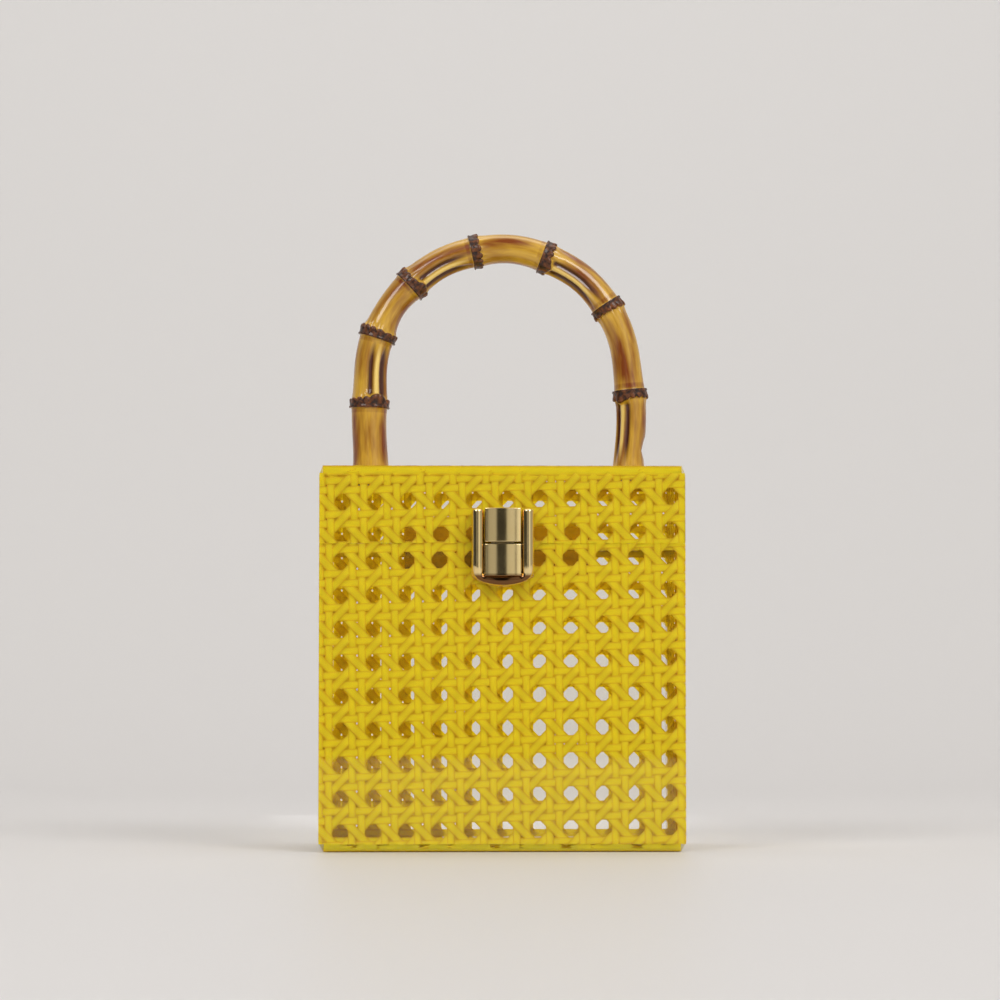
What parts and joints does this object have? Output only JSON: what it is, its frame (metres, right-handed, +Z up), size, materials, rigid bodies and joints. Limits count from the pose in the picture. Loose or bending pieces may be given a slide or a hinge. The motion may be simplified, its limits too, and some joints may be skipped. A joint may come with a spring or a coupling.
{
  "type": "acrylic evening bag",
  "caption": "Upright box-shaped evening bag of clear acrylic laminated over yellow cane webbing, with a hinged lid, a gold push-button lock and a bent bamboo top handle.",
  "frame": {"origin": "middle of the flat bottom face that the bag stands on", "axes": "+Z up towards the handle, -Y towards the lock at the front, +X to the right as seen from the front"},
  "size_m": [0.15, 0.0961, 0.259],
  "materials": {
    "clear_acrylic": "polished, clear",
    "yellow_cane": "dyed cane strands, satin",
    "bamboo": "lacquered bamboo with dark node rings",
    "gold_metal": "polished pale gold plating",
    "steel": "plain"
  },
  "bodies": {
    "base": {"base_front_outer_sheet": "clear_acrylic", "base_front_inner_sheet": "clear_acrylic", "base_back_outer_sheet": "clear_acrylic", "base_back_inner_sheet": "clear_acrylic", "base_left_outer_sheet": "clear_acrylic", "base_left_inner_sheet": "clear_acrylic", "base_right_outer_sheet": "clear_acrylic", "base_right_inner_sheet": "clear_acrylic", "base_bottom_outer_sheet": "clear_acrylic", "base_bottom_inner_sheet": "clear_acrylic", "base_front_cane": "yellow_cane", "base_back_cane": "yellow_cane", "base_left_cane": "yellow_cane", "base_right_cane": "yellow_cane", "base_bottom_cane": "yellow_cane", "hinge_base_leaf": "gold_metal", "hinge_pin": "gold_metal", "lock_body": "gold_metal", "lock_spring": "steel", "lock_backing_plate": "steel"},
    "lid": {"lid_front_outer_sheet": "clear_acrylic", "lid_front_inner_sheet": "clear_acrylic", "lid_back_outer_sheet": "clear_acrylic", "lid_back_inner_sheet": "clear_acrylic", "lid_left_outer_sheet": "clear_acrylic", "lid_left_inner_sheet": "clear_acrylic", "lid_right_outer_sheet": "clear_acrylic", "lid_right_inner_sheet": "clear_acrylic", "lid_top_outer_sheet": "clear_acrylic", "lid_top_inner_sheet": "clear_acrylic", "lid_front_cane": "yellow_cane", "lid_back_cane": "yellow_cane", "lid_left_cane": "yellow_cane", "lid_right_cane": "yellow_cane", "lid_top_cane": "yellow_cane", "hinge_lid_leaf": "gold_metal", "lock_tongue": "gold_metal", "tongue_backing_plate": "steel", "bamboo_handle": "bamboo", "handle_screws": "steel"},
    "button": {"lock_button": "gold_metal"}
  },
  "joints": [
    {"name": "lid_hinge", "type": "hinge", "parent": "base", "child": "lid", "pos_m": [0, 0.04465, 0.1258], "axis": [-1, 0, 0], "range_deg": [0, 110]},
    {"name": "button_press", "type": "slide", "parent": "base", "child": "button", "axis": [0, 1, 0], "range_m": [0, 0.0008], "stiffness_N_per_m": 600, "springref_m": -0.0004, "deforming": ["lock_spring"]}
  ]
}
